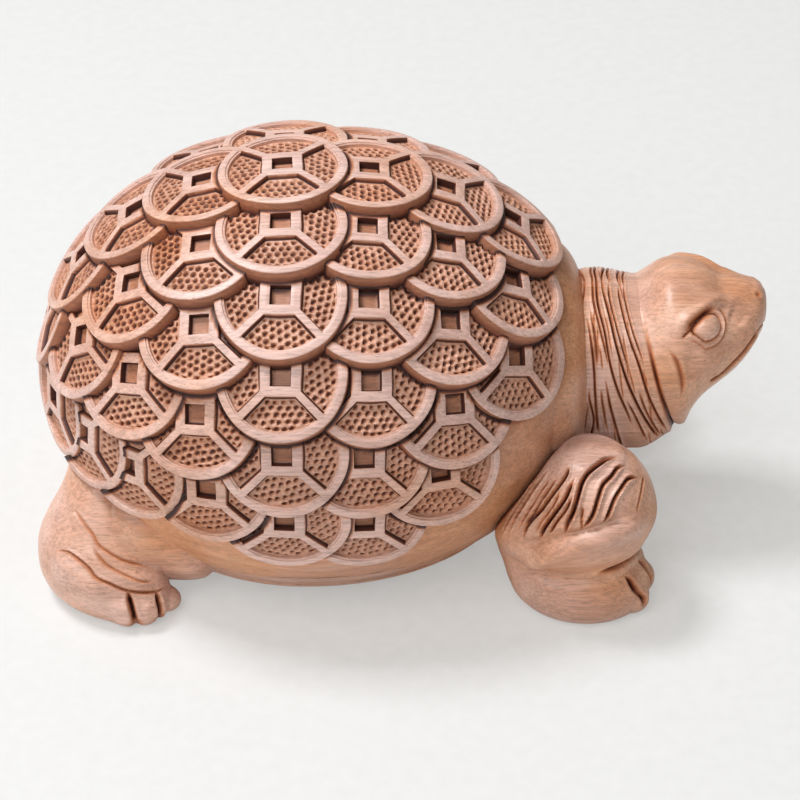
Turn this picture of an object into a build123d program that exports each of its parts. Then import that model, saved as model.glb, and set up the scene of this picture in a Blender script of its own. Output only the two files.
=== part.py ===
"""Carved wooden turtle figurine whose domed shell is laid with overlapping coin scales."""
import os
from math import asin, cos, degrees, radians, sin, sqrt

from build123d import *

# Shell body: a solid of revolution about the long axis, blunt where the neck enters
shell_x = -22.3
axis_height = 46.0
shell_radius = 54.25
shell_front = 69.5
shell_rear = 62.4
lip_x = 65.6
lip_margin = 1.1
lip_width = 8.1
lip_bulge = 0.9

# Belly plate: a flat slice closing the underside of the shell
belly_height = 6.0
belly_thickness = 8.0

# Coin scales: round, slightly domed, overlapping like tiles down from the crown
scale_radius = 15.1
scale_height = 2.0
scale_dome_radius = 60.0
scale_fit = 0.1
crown_offset = -4.9
column_pitch_front = 20.2
column_pitch_rear = 19.5
column_shrink = 0.4
row_pitch = 18.65
row_growth = 0.09
row_spread = (1.0, 1.0, 1.01, 1.05, 0.95, 0.95)
shingle_slope = 0.14
last_row_slope = 0.04
column_slope = 0.06
spine_lift = 0.9
crown_lift = 0.4
# Last row that is laid in each column, the crown column being column 0
last_row = {-4: 1, -3: 2, -2: 3, -1: 4, 0: 5, 1: 5, 2: 4, 3: 2}

# Coin relief: square hole, hub round it, four diagonal spokes and four sunk panels
hole_size = 4.7
hub_size = 9.4
spoke_width = 2.2
panel_radius = 12.7
panel_depth = 1.2

# Neck and head, measured from the middle of the shell
neck_radius = 20.8
neck_rise = 1.6
neck_root = 52.0
neck_front = 84.5
neck_tilt = 10.0
fold_count = 8
fold_depth = 1.2
# Head sections: distance ahead of the shell's middle, height above its axis, radius
head_sections = (
    (90.0, 7.0, 19.4),
    (95.5, 9.2, 16.7),
    (100.5, 10.0, 14.0),
    (104.5, 11.2, 11.6),
    (107.8, 13.8, 8.8),
    (110.2, 16.0, 5.4),
)
nose_x = 111.6
nose_rise = 17.2
eye_x = 97.5
eye_half_width = 11.8
eye_rise = 17.4
eye_radius = 3.6
mouth_corner = (98.5, 5.4)
mouth_length = 18.0
mouth_pitch = 19.0
mouth_width = 1.1
mouth_depth = 1.6

# Right-hand limbs as level sections; the left-hand limbs are their mirror images
# They are drawn for a shell of these sizes, and stretch, spread and rise with it
drawn_front = 69.5
drawn_rear = 62.4
drawn_radius = 54.25
drawn_axis_height = 46.0
# Each section: height above the ground, middle ahead of and beside the shell's, half length,
# half width and turn of the oval
front_leg_sections = (
    (0.0, 67.0, -35.2, 12.8, 10.6, -8),
    (2.5, 66.5, -35.4, 16.0, 13.2, -8),
    (6.0, 66.0, -35.5, 17.3, 14.0, -8),
    (11.0, 64.7, -35.0, 17.5, 13.4, -8),
    (15.5, 63.0, -34.4, 17.2, 12.2, -5),
    (22.0, 63.8, -36.0, 18.6, 13.8, 0),
    (28.0, 65.8, -36.6, 18.0, 14.0, 0),
    (33.0, 67.3, -36.3, 15.8, 13.4, 0),
    (38.0, 68.0, -35.3, 12.8, 11.8, 0),
    (42.0, 67.8, -34.5, 9.0, 8.6, 0),
    (44.5, 67.5, -34.0, 4.6, 4.6, 0),
)
# Toes: middle ahead of and beside the shell's, and height above the ground
front_toes = ((78.5, -41.0, 4.5), (80.5, -34.0, 4.5), (78.5, -27.0, 4.5))
rear_leg_sections = (
    (0.0, -49.0, -36.0, 13.6, 7.2, -28),
    (2.5, -49.5, -35.7, 16.4, 9.8, -28),
    (5.0, -49.7, -35.5, 17.3, 10.9, -28),
    (11.0, -50.5, -33.8, 16.8, 12.2, -25),
    (16.0, -51.0, -31.2, 15.4, 12.6, -21),
    (21.0, -50.4, -28.6, 13.4, 12.3, -16),
    (26.0, -49.0, -26.0, 11.2, 11.3, -8),
    (31.0, -47.8, -23.0, 8.6, 8.8, 0),
    (35.0, -47.0, -20.2, 5.0, 5.0, 0),
)
rear_toes = ((-43.5, -44.0, 4.0), (-38.6, -42.6, 3.8), (-34.8, -39.6, 3.6))
toe_radius = 4.2
# Crease over the front foot: a ring cut a little deeper than the skin
crease_middle = (65.0, -35.0, 15.4)
crease_normal = (-0.09, 0.0, 1.0)
crease_width = 1.4
crease_depth = 1.4
# Wrinkles of the upper arm: cuts left by a round blade, each with its middle and its axis
wrinkle_blade_radius = 14.0
wrinkle_width = 1.1
front_wrinkles = (
    ((74.0, -56.1, 45.7), (-0.84, 0.19, 0.5)),
    ((68.7, -56.0, 46.8), (-0.8, 0.36, 0.48)),
    ((59.4, -54.3, 46.9), (-0.78, 0.56, 0.28)),
    ((47.9, -52.8, 39.4), (-0.54, 0.79, 0.3)),
)
tail_root = (-46.0, 0.0, 24.0)
tail_tip = (-61.5, 0.0, 9.5)
tail_radius = 6.0

# Wooden dowels that carry the glued joints
dowel_fit = 0.1
neck_dowel_radius = 6.0
neck_dowel_start = 40.0
neck_dowel_end = 94.0
leg_dowel_radius = 4.0
leg_dowel_half_length = 15.0
tail_dowel_radius = 2.0
tail_dowel_half_length = 8.0
tail_peg_place = 0.35
front_peg_middle = (61.0, -29.0, 29.0)
front_peg_along = (0.45, -0.85, -0.2)
rear_peg_middle = (-47.0, -25.0, 22.0)
rear_peg_along = (-0.35, -0.8, -0.4)
belly_dowel_radius = 3.0
belly_dowel_length = 14.0
belly_dowel_x = 27.0
belly_dowel_y = 15.0

front_meridian = EllipticalCenterArc(
    (0, 0), shell_front + scale_height, shell_radius + scale_height, start_angle=90, arc_size=-90
)
rear_meridian = EllipticalCenterArc(
    (0, 0), shell_rear + scale_height, shell_radius + scale_height, start_angle=90, arc_size=90
)


def spot(x, y, z):
    """A point given from the middle of the shell, in the frame of the whole figure."""
    return Vector(shell_x + x, y, axis_height + z)


def limb_spot(ahead, beside, height):
    """A point of a limb as drawn, moved with the shell's length, girth and height."""
    stretch = shell_front / drawn_front if ahead > 0 else shell_rear / drawn_rear
    spread = shell_radius / drawn_radius
    rise = axis_height / drawn_axis_height
    return Vector(shell_x + ahead * stretch, beside * spread, height * rise)


def side_plane(x, z):
    """Upright plane along the figure, its own X forward and its own Y up."""
    return Plane(origin=spot(x, 0, z), x_dir=(1, 0, 0), z_dir=(0, -1, 0))


def spheroid(middle, along, half_length, radius, mode=Mode.ADD):
    """Half an ellipse turned about its own long axis, added to the piece in hand."""
    direction = Vector(*along).normalized()
    across = direction.cross(Vector(0.31, 0.17, 0.93)).normalized()
    with BuildSketch(Plane(origin=middle, x_dir=direction, z_dir=across)) as half:
        Ellipse(half_length, radius)
        split(bisect_by=Plane.XZ)
    revolve(half.sketch, axis=Axis(middle, direction), mode=mode)


def rod(middle, along, half_length, radius, mode=Mode.ADD):
    """A round dowel, or the hole for one, centred on a point and laid along a direction."""
    direction = Vector(*along).normalized()
    across = direction.cross(Vector(0.31, 0.17, 0.93)).normalized()
    with BuildSketch(Plane(origin=middle, x_dir=across, z_dir=direction)) as section:
        Circle(radius)
    extrude(section.sketch, amount=half_length, both=True, mode=mode)


def column_distance(column, row):
    """Distance along the meridian from the shell's widest point to a column of scales."""
    pitch = column_pitch_front if column > 0 else column_pitch_rear
    reach = abs(column) * pitch - column_shrink * column * column
    return crown_offset + row_spread[row] * (reach if column > 0 else -reach)


def scale_place(column, row):
    """Place of one scale's face: on the dome, tipped so that its free edges stand up."""
    distance = column_distance(column, row)
    meridian = front_meridian if distance > 0 else rear_meridian
    point = meridian.position_at(abs(distance), position_mode=PositionMode.LENGTH)
    tangent = meridian.tangent_at(abs(distance), position_mode=PositionMode.LENGTH)
    forward = tangent if distance > 0 else -tangent
    turn = row * row_pitch * (1 + row_growth * max(0, -column)) / point.Y
    outward = Vector(0, -sin(turn), cos(turn))
    down = Vector(0, -cos(turn), -sin(turn))
    ahead = Vector(forward.X, 0, 0) + outward * forward.Y
    normal = outward * forward.X - Vector(forward.Y, 0, 0)
    lift = (spine_lift if row == 0 else 0) + (crown_lift if column == 0 else 0)
    slope = last_row_slope if row == last_row[column] else shingle_slope
    side = (column > 0) - (column < 0)
    tip = down * (slope if row else 0) + ahead * (column_slope * side)
    seat = spot(point.X, 0, 0) + outward * point.Y + normal * lift
    return Plane(origin=seat, x_dir=ahead, z_dir=normal - tip).location


def lying_over(column, row):
    """Scales that lie on top of one scale: the row above and the one nearer the crown."""
    above = [(column + step, row - 1) for step in (-1, 0, 1) if row > 0]
    nearer = [(column - 1 if column > 0 else column + 1, row)] if column else []
    return [(c, r) for c, r in above + nearer if c in last_row and r <= last_row[c]]


# The turned dome of the shell, before the belly is sliced off it
# Its rear is a quarter ellipse drawn as a weighted curve, so that either axis may be the longer
lip_radius = neck_radius + lip_margin
lip_start_radius = lip_radius + lip_width
lip_angle = degrees(asin(lip_start_radius / shell_radius))
lip_start_x = shell_front * cos(radians(lip_angle))
quarter_weights = (1, sqrt(0.5), 1)
with BuildPart() as dome:
    with BuildSketch(side_plane(0, 0)):
        with BuildLine():
            Bezier(
                (0, shell_radius), (-shell_rear, shell_radius), (-shell_rear, 0), weights=quarter_weights
            )
            Polyline((-shell_rear, 0), (lip_x, 0), (lip_x, lip_radius))
            ThreePointArc(
                (lip_x, lip_radius),
                ((lip_x + lip_start_x) / 2 + lip_bulge, (lip_radius + lip_start_radius) / 2 + lip_bulge),
                (lip_start_x, lip_start_radius),
            )
            EllipticalCenterArc(
                (0, 0), shell_front, shell_radius, start_angle=lip_angle, arc_size=90 - lip_angle
            )
        make_face()
    revolve(axis=Axis(spot(0, 0, 0), (1, 0, 0)))

# Everything below the joint between the shell and its belly plate
joint_height = belly_height + belly_thickness
with BuildPart() as below_joint:
    with BuildSketch(Plane.XY.offset(joint_height)):
        Rectangle(8 * shell_radius, 8 * shell_radius)
    extrude(amount=-2 * axis_height)

# One scale before it is trimmed: a disc with a domed face, face centre at the origin
with BuildPart() as scale_blank:
    with BuildSketch(Plane.XY.offset(-scale_dome_radius / 4)):
        Circle(scale_radius)
    extrude(amount=scale_dome_radius / 2)
    with Locations((0, 0, -scale_dome_radius)):
        Sphere(scale_dome_radius, mode=Mode.INTERSECT)

# Room that a scale lying on top takes out of its neighbours
with BuildPart() as scale_room:
    with BuildSketch(Plane.XY.offset(-scale_dome_radius / 4)):
        Circle(scale_radius + scale_fit)
    extrude(amount=scale_dome_radius / 2)

# Coin relief: the square hole and the sunk panels, whose floors follow the domed face
with BuildPart() as scale_relief:
    with BuildSketch(Plane.XY.offset(-scale_dome_radius / 4)):
        Circle(panel_radius)
        Rectangle(hub_size, hub_size, mode=Mode.SUBTRACT)
        Rectangle(spoke_width, 4 * scale_radius, rotation=45, mode=Mode.SUBTRACT)
        Rectangle(spoke_width, 4 * scale_radius, rotation=-45, mode=Mode.SUBTRACT)
    extrude(amount=scale_dome_radius / 2)
    with Locations((0, 0, -scale_dome_radius)):
        Sphere(scale_dome_radius - panel_depth, mode=Mode.SUBTRACT)
    with BuildSketch(Plane.XY.offset(-scale_dome_radius / 4)):
        Rectangle(hole_size, hole_size)
    extrude(amount=scale_dome_radius / 2)


def scale(column, row):
    """One finished coin scale: seated on the dome, trimmed under those that cover it."""
    place = scale_place(column, row)
    with BuildPart() as piece:
        add(scale_blank.part.moved(place))
        add(dome.part, mode=Mode.SUBTRACT)
        for cover in lying_over(column, row):
            add(scale_room.part.moved(scale_place(*cover)), mode=Mode.SUBTRACT)
        add(scale_relief.part.moved(place), mode=Mode.SUBTRACT)
    return piece.part.solids().sort_by(SortBy.VOLUME)[-1]


os.makedirs("parts", exist_ok=True)

# Spine scales: the single row along the top of the shell
with BuildPart() as spine_scales:
    for column in last_row:
        add(scale(column, 0))
spine_scales.part.label = "spine_scales"
export_step(spine_scales.part, "parts/spine_scales.step")

# Side rows of scales, from the row next to the spine down to the rim, and their mirrors
for row in range(1, max(last_row.values()) + 1):
    with BuildPart() as right_row:
        for column in last_row:
            if row <= last_row[column]:
                add(scale(column, row))
    right_row.part.label = f"right_scale_row_{row}"
    export_step(right_row.part, f"parts/right_scale_row_{row}.step")
    with BuildPart() as left_row:
        mirror(right_row.part, about=Plane.XZ)
    left_row.part.label = f"left_scale_row_{row}"
    export_step(left_row.part, f"parts/left_scale_row_{row}.step")

# Belly plate: the flat slice of the dome that closes its underside
belly_seats = [
    Vector(shell_x + x, y, joint_height)
    for x in (-belly_dowel_x, belly_dowel_x)
    for y in (-belly_dowel_y, belly_dowel_y)
]
with BuildPart() as belly_plate:
    add(dome.part)
    add(below_joint.part, mode=Mode.INTERSECT)
    split(bisect_by=Plane.XY.offset(belly_height), keep=Keep.TOP)
    for seat in belly_seats:
        rod(seat, (0, 0, 1), belly_dowel_length / 2, belly_dowel_radius + dowel_fit, Mode.SUBTRACT)
belly_plate.part.label = "belly_plate"
export_step(belly_plate.part, "parts/belly_plate.step")

# Belly dowels: four short pegs between the shell body and the belly plate
with BuildPart() as belly_dowels:
    for seat in belly_seats:
        rod(seat, (0, 0, 1), belly_dowel_length / 2, belly_dowel_radius)
belly_dowels.part.label = "belly_dowels"
export_step(belly_dowels.part, "parts/belly_dowels.step")

# Neck: a stout turned stem with deep ring folds, seated on the shell's blunt front
neck_axis = Axis(spot(0, 0, neck_rise), (1, 0, 0))
neck_dowel_middle = spot((neck_dowel_start + neck_dowel_end) / 2, 0, neck_rise)
neck_dowel_half_length = (neck_dowel_end - neck_dowel_start) / 2
head_joint = Plane(
    origin=spot(neck_front, 0, neck_rise),
    x_dir=(0, 1, 0),
    z_dir=(cos(radians(neck_tilt)), 0, sin(radians(neck_tilt))),
)
neck_end = neck_front + neck_radius * sin(radians(neck_tilt)) + 1
fold_pitch = (neck_end - lip_x) / fold_count
with BuildPart() as neck:
    with BuildSketch(side_plane(0, neck_rise)):
        with BuildLine():
            Polyline(
                (lip_x, neck_radius - fold_depth), (neck_root, neck_radius - fold_depth),
                (neck_root, 0), (neck_end, 0), (neck_end, neck_radius - fold_depth),
            )
            for fold in range(fold_count):
                start = lip_x + fold * fold_pitch
                ThreePointArc(
                    (start, neck_radius - fold_depth),
                    (start + fold_pitch / 2, neck_radius),
                    (start + fold_pitch, neck_radius - fold_depth),
                )
        make_face()
    revolve(axis=neck_axis)
    split(bisect_by=head_joint, keep=Keep.BOTTOM)
    add(dome.part, mode=Mode.SUBTRACT)
    rod(neck_dowel_middle, (1, 0, 0), neck_dowel_half_length, neck_dowel_radius + dowel_fit, Mode.SUBTRACT)
neck.part.label = "neck"
export_step(neck.part, "parts/neck.step")


def head_form(inset):
    """The head's skin, or a copy of it sunk below the surface: a loft that ends at the nose."""
    with BuildPart() as form:
        with BuildSketch(head_joint) as root:
            Circle(neck_radius - inset)
        outline = [root.sketch]
        for ahead, rise, radius in head_sections:
            place = Plane(origin=spot(ahead - inset, 0, rise), x_dir=(0, 1, 0), z_dir=(1, 0, 0))
            with BuildSketch(place) as section:
                Circle(radius - inset)
            outline.append(section.sketch)
        loft([*outline, Vertex(*spot(nose_x - inset, 0, nose_rise))])
    return form.part


# Mouth line: a thin slot along the jaw, only as deep as a knife cut
with BuildPart() as mouth:
    with BuildSketch(side_plane(*mouth_corner)):
        with PolarLocations(mouth_length / 2, 1, start_angle=mouth_pitch):
            SlotOverall(mouth_length, mouth_width)
    extrude(amount=neck_radius, both=True)
    add(head_form(mouth_depth), mode=Mode.SUBTRACT)

# Head: a blunt wedge with bulging eyes and a carved line for the mouth
with BuildPart() as head:
    add(head_form(0))
    with Locations(spot(eye_x, -eye_half_width, eye_rise), spot(eye_x, eye_half_width, eye_rise)):
        Sphere(eye_radius)
    add(mouth.part, mode=Mode.SUBTRACT)
    rod(neck_dowel_middle, (1, 0, 0), neck_dowel_half_length, neck_dowel_radius + dowel_fit, Mode.SUBTRACT)
head.part.label = "head"
export_step(head.part, "parts/head.step")

# Neck dowel: one long peg from the shell through the neck into the head
with BuildPart() as neck_dowel:
    rod(neck_dowel_middle, (1, 0, 0), neck_dowel_half_length, neck_dowel_radius)
neck_dowel.part.label = "neck_dowel"
export_step(neck_dowel.part, "parts/neck_dowel.step")


def leg_form(sections, inset):
    """The stacked ovals of a leg, or a copy of them sunk below its skin."""
    with BuildPart() as form:
        for height, ahead, beside, half_length, half_width, turn in sections:
            place = limb_spot(ahead, beside, height)
            with BuildSketch(Plane.XY.offset(place.Z)):
                with Locations((place.X, place.Y)):
                    Ellipse(half_length - inset, half_width - inset, rotation=turn)
        loft()
    return form.part


def leg(sections, toes, peg_middle, peg_along):
    """A right-hand leg: a loft of level ovals on a flat sole, three toes, seated on the shell."""
    with BuildPart() as limb:
        add(leg_form(sections, 0))
        for toe in toes:
            with Locations(limb_spot(*toe)):
                Sphere(toe_radius)
        split(bisect_by=Plane.XY, keep=Keep.TOP)
        add(dome.part, mode=Mode.SUBTRACT)
        rod(peg_middle, peg_along, leg_dowel_half_length, leg_dowel_radius + dowel_fit, Mode.SUBTRACT)
    return limb.part


front_peg = (limb_spot(*front_peg_middle), front_peg_along)
rear_peg = (limb_spot(*rear_peg_middle), rear_peg_along)

# Crease between the elbow and the foot of a front leg, no deeper than a gouge cut
with BuildPart() as foot_crease:
    with BuildSketch(Plane(origin=limb_spot(*crease_middle), z_dir=crease_normal)):
        Circle(shell_radius)
    extrude(amount=crease_width / 2, both=True)
    add(leg_form(front_leg_sections, crease_depth), mode=Mode.SUBTRACT)

# Front legs: thick upper arm, rounded forearm and a broad foot, toes forward
with BuildPart() as right_front_leg:
    add(leg(front_leg_sections, front_toes, *front_peg))
    add(foot_crease.part, mode=Mode.SUBTRACT)
    for middle, axis in front_wrinkles:
        rod(limb_spot(*middle), axis, wrinkle_width / 2, wrinkle_blade_radius, Mode.SUBTRACT)
right_front_leg.part.label = "right_front_leg"
export_step(right_front_leg.part, "parts/right_front_leg.step")
with BuildPart() as left_front_leg:
    mirror(right_front_leg.part, about=Plane.XZ)
left_front_leg.part.label = "left_front_leg"
export_step(left_front_leg.part, "parts/left_front_leg.step")

# Rear legs: rounded haunch folded over a foot that lies flat along the body
with BuildPart() as right_rear_leg:
    add(leg(rear_leg_sections, rear_toes, *rear_peg))
right_rear_leg.part.label = "right_rear_leg"
export_step(right_rear_leg.part, "parts/right_rear_leg.step")
with BuildPart() as left_rear_leg:
    mirror(right_rear_leg.part, about=Plane.XZ)
left_rear_leg.part.label = "left_rear_leg"
export_step(left_rear_leg.part, "parts/left_rear_leg.step")

# Leg dowels: one peg in each leg, in pairs
with BuildPart() as front_leg_dowels:
    rod(*front_peg, leg_dowel_half_length, leg_dowel_radius)
    mirror(about=Plane.XZ)
front_leg_dowels.part.label = "front_leg_dowels"
export_step(front_leg_dowels.part, "parts/front_leg_dowels.step")
with BuildPart() as rear_leg_dowels:
    rod(*rear_peg, leg_dowel_half_length, leg_dowel_radius)
    mirror(about=Plane.XZ)
rear_leg_dowels.part.label = "rear_leg_dowels"
export_step(rear_leg_dowels.part, "parts/rear_leg_dowels.step")

# Tail: a short cone tucked under the rear of the shell, on its own small peg
tail_along = limb_spot(*tail_tip) - limb_spot(*tail_root)
tail_peg_middle = limb_spot(*tail_root) + tail_along * tail_peg_place
with BuildPart() as tail:
    spheroid(limb_spot(*tail_root), tail_along, tail_along.length, tail_radius)
    add(dome.part, mode=Mode.SUBTRACT)
    rod(tail_peg_middle, tail_along, tail_dowel_half_length, tail_dowel_radius + dowel_fit, Mode.SUBTRACT)
tail.part.label = "tail"
export_step(tail.part, "parts/tail.step")
with BuildPart() as tail_dowel:
    rod(tail_peg_middle, tail_along, tail_dowel_half_length, tail_dowel_radius)
tail_dowel.part.label = "tail_dowel"
export_step(tail_dowel.part, "parts/tail_dowel.step")

# Shell body: the dome above its belly joint, bored for every dowel
with BuildPart() as shell_body:
    add(dome.part)
    add(below_joint.part, mode=Mode.SUBTRACT)
    rod(neck_dowel_middle, (1, 0, 0), neck_dowel_half_length, neck_dowel_radius + dowel_fit, Mode.SUBTRACT)
    rod(tail_peg_middle, tail_along, tail_dowel_half_length, tail_dowel_radius + dowel_fit, Mode.SUBTRACT)
    for middle, along in (front_peg, rear_peg):
        for side in (-1, 1):
            mirrored_middle = Vector(middle.X, side * middle.Y, middle.Z)
            mirrored_along = (along[0], side * along[1], along[2])
            rod(
                mirrored_middle, mirrored_along, leg_dowel_half_length,
                leg_dowel_radius + dowel_fit, Mode.SUBTRACT,
            )
    for seat in belly_seats:
        rod(seat, (0, 0, 1), belly_dowel_length / 2, belly_dowel_radius + dowel_fit, Mode.SUBTRACT)
shell_body.part.label = "shell_body"
export_step(shell_body.part, "parts/shell_body.step")
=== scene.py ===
"""Carved wooden turtle with a shell of overlapping coin scales, standing on pale paper."""
from math import radians

import bpy
import numpy as np
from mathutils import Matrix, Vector


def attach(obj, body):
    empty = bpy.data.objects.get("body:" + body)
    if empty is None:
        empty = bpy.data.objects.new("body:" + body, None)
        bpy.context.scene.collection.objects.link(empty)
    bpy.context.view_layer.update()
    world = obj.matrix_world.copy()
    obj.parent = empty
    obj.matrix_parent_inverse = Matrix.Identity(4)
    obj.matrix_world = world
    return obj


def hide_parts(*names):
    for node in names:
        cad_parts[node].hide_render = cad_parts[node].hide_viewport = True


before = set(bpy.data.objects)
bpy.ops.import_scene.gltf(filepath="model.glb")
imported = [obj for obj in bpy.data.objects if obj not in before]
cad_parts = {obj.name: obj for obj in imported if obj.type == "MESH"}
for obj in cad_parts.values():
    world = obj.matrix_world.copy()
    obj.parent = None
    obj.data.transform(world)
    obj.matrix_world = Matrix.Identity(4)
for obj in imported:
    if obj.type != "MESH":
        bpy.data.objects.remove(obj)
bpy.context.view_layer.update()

# Shell body
# The domed block of the shell, turned and then sanded smooth: it shows as the bare band
# below the scales and as the collar round the neck. Waxed reddish-brown wood, grain along
# the body.
MIDDLE = np.array([-22.3, 0.0, 46.0])
SHELL_RADIUS, SHELL_FRONT, SHELL_REAR = 54.25, 69.5, 62.4
SHELL_SKIN, BELLY_JOINT = 0.9, 14.0
LIP_START, LIP_END, LIP_BULGE = 30.0, (65.4, 22.0), 0.9
LIP_TURN = np.array([[65.9, 21.2], [65.7, 20.2], [64.0, 19.0]])
# The scales lie in columns along the shell and rows down its flanks, on beds sunk into the block.
SCALE_RADIUS, SCALE_HEIGHT, SCALE_DOME = 15.1, 2.0, 80.0
LAST_ROW = {-4: 1, -3: 2, -2: 3, -1: 4, 0: 5, 1: 5, 2: 4, 3: 2}
COLUMN_START, COLUMN_AHEAD, COLUMN_BEHIND, COLUMN_CROWDING = -4.9, 20.2, 19.5, 0.4
ROW_STEP, ROW_WIDENING = 18.65, 0.09
ROW_SPREAD = (1.0, 1.0, 1.01, 1.05, 0.95, 0.95)
ROW_SLOPE = (0.0, 0.11, 0.135, 0.135, 0.105, 0.05)
LAST_SLOPE, SIDE_SLOPE = 0.05, 0.06
SPINE_LIFT, CENTRE_LIFT = 0.9, 0.4
BED_INSET, BED_DEPTH, BED_EDGE = 1.2, 1.6, 1.4
# Painted shade on the body in a band just outside each scale's edge, where the scales overhang it.
SHADE_INSET, SHADE_DARK = -1.0, 0.55
FAR = 99.0
MM = 0.001
SHARP_EDGE = radians(38)


def smoothstep(low, high, value):
    """Cubic ramp from 0 at low to 1 at high."""
    t = np.clip((value - low) / (high - low), 0.0, 1.0)
    return t * t * (3.0 - 2.0 * t)


def unit(v):
    """Vectors along the last axis, scaled to length one."""
    return v / np.linalg.norm(v, axis=-1, keepdims=True)


def meridian(distance):
    """Point (x, r) and forward tangent of the scale surface at a distance along its meridian:
    a quarter ellipse ahead of the widest point and another behind it."""
    long = (SHELL_FRONT if distance > 0 else SHELL_REAR) + SCALE_HEIGHT
    tall = SHELL_RADIUS + SCALE_HEIGHT
    t = np.linspace(0.0, np.pi / 2, 2001)
    x, r = long * np.sin(t), tall * np.cos(t)
    run = np.concatenate([[0.0], np.cumsum(np.hypot(np.diff(x), np.diff(r)))])
    angle = np.interp(abs(distance), run, t)
    side = 1.0 if distance > 0 else -1.0
    point = np.array([side * long * np.sin(angle), tall * np.cos(angle)])
    tangent = unit(np.array([long * np.cos(angle), -side * tall * np.sin(angle)]))
    return point, tangent


def scale_frame(column, row):
    """Face centre of one scale and its axes (ahead, downhill, outward) on the right flank, tipped
    so that the free edges stand up like tiles."""
    side = (column > 0) - (column < 0)
    step = COLUMN_AHEAD if column > 0 else COLUMN_BEHIND
    reach = abs(column) * step - COLUMN_CROWDING * column * column
    (x, r), (fx, fr) = meridian(COLUMN_START + ROW_SPREAD[row] * side * reach)
    turn = row * ROW_STEP * (1.0 + ROW_WIDENING * max(0, -column)) / r
    outward = np.array([0.0, -np.sin(turn), np.cos(turn)])
    down = np.array([0.0, -np.cos(turn), -np.sin(turn)])
    ahead = np.array([fx, 0.0, 0.0]) + fr * outward
    normal = fx * outward - np.array([fr, 0.0, 0.0])
    slope = min(ROW_SLOPE[row], LAST_SLOPE) if row == LAST_ROW[column] else ROW_SLOPE[row]
    lift = (SPINE_LIFT if row == 0 else 0.0) + (CENTRE_LIFT if column == 0 else 0.0)
    seat = MIDDLE + np.array([x, 0.0, 0.0]) + r * outward + lift * normal
    face = unit(normal - slope * down - SIDE_SLOPE * side * ahead)
    ahead = unit(ahead - (ahead @ face) * face)
    return seat, np.stack([ahead, -np.cross(face, ahead), face])


SCALES = {(c, r): scale_frame(c, r) for c in LAST_ROW for r in range(LAST_ROW[c] + 1)}
MIRROR = np.array([1.0, -1.0, 1.0])


def mesh_piece(name, grids):
    """One mesh from grids of points (rows, columns, xyz) in millimetres whose columns close into
    rings. The first and last rows are closed by fans; each grid brings its per-point values of
    recess, the painted shade from 0 on open faces to 1 in the deepest cuts. Faces wind outwards
    when the columns turn counter-clockwise seen along the rows' order."""
    verts, quads, tris, recess = [], [], [], []
    base = 0
    for points, deep in grids:
        rows, cols = points.shape[:2]
        ids = base + np.arange(rows * cols).reshape(rows, cols)
        nxt = np.roll(ids, -1, axis=1)
        quads.append(np.stack([ids[:-1], nxt[:-1], nxt[1:], ids[1:]], -1).reshape(-1, 4))
        first, last = base + rows * cols, base + rows * cols + 1
        tris.append(np.stack([nxt[0], ids[0], np.full(cols, first)], -1))
        tris.append(np.stack([ids[-1], nxt[-1], np.full(cols, last)], -1))
        verts += [points.reshape(-1, 3), points[[0, -1]].mean(axis=1)]
        recess += [deep.ravel(), deep[[0, -1]].mean(axis=1)]
        base += rows * cols + 2
    verts, recess = np.concatenate(verts) * MM, np.concatenate(recess)
    quads, tris = np.concatenate(quads), np.concatenate(tris)
    loops = np.concatenate([quads.ravel(), tris.ravel()])
    starts = np.concatenate([np.arange(len(quads)) * 4, len(quads) * 4 + np.arange(len(tris)) * 3])
    mesh = bpy.data.meshes.new(name)
    mesh.vertices.add(len(verts))
    mesh.vertices.foreach_set("co", verts.astype(np.float32).ravel())
    mesh.loops.add(len(loops))
    mesh.loops.foreach_set("vertex_index", loops.astype(np.int32))
    mesh.polygons.add(len(starts))
    mesh.polygons.foreach_set("loop_start", starts.astype(np.int32))
    mesh.polygons.foreach_set("use_smooth", np.ones(len(starts), dtype=bool))
    layer = mesh.attributes.new("recess", "FLOAT", "POINT")
    layer.data.foreach_set("value", recess.astype(np.float32))
    mesh.update(calc_edges=True)
    mesh.validate()
    mesh.set_sharp_from_angle(angle=SHARP_EDGE)
    piece = bpy.data.objects.new(name, mesh)
    bpy.context.collection.objects.link(piece)
    return piece


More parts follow.
